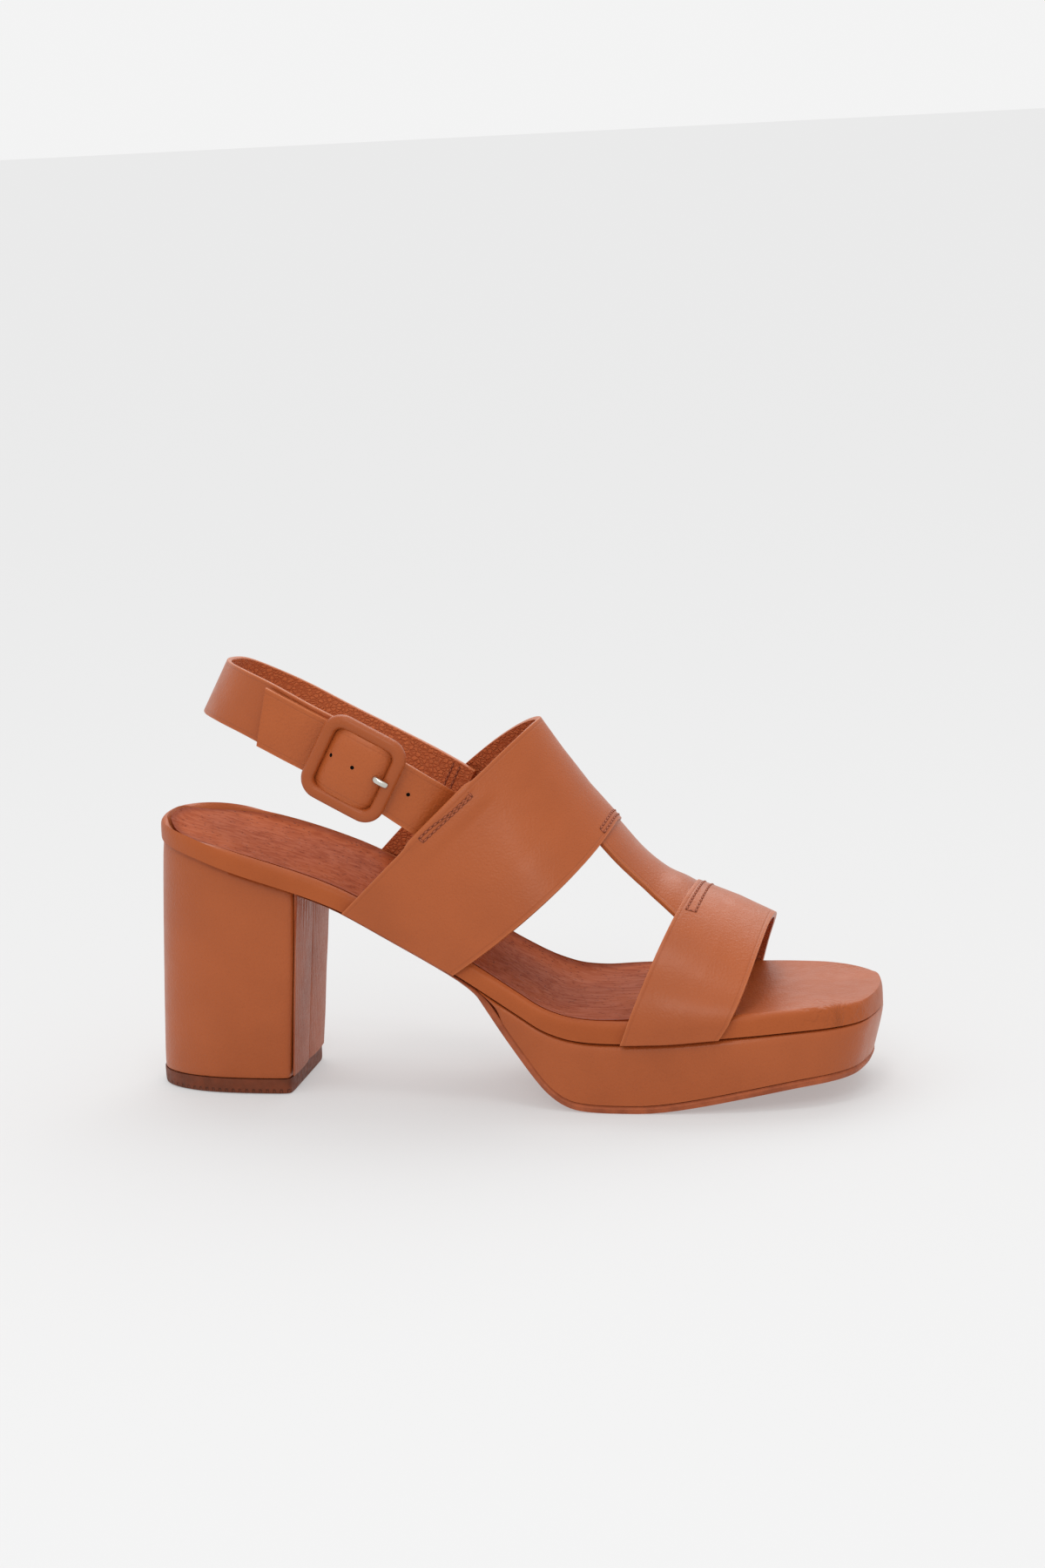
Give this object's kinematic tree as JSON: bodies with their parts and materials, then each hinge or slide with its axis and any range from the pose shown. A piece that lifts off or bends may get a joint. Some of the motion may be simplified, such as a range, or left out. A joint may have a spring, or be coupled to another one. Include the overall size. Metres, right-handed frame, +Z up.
{
  "type": "heeled sandal",
  "caption": "Leather-covered open sandal with a block heel, platform front, T-strap upper and a buckled strap round the heel.",
  "frame": {"origin": "middle of the heel's tread, on the floor", "axes": "+X towards the toe, +Y towards the medial (inner) side of the foot, +Z up"},
  "size_m": [0.244, 0.0902, 0.1434],
  "materials": {
    "leather": "smooth semi-gloss tan leather",
    "lining": "matt pigskin lining",
    "rubber": "matt brown rubber",
    "steel": "bright plated steel"
  },
  "bodies": {
    "root": {"footbed": "leather", "sock": "lining", "platform": "leather", "outsole": "rubber", "heel_block": "leather", "heel_tip": "rubber", "upper": "leather", "heel_strap": "leather", "buckle_strap": "leather", "buckle_frame": "leather", "buckle_bar": "steel", "prong": "steel"}
  },
  "joints": []
}
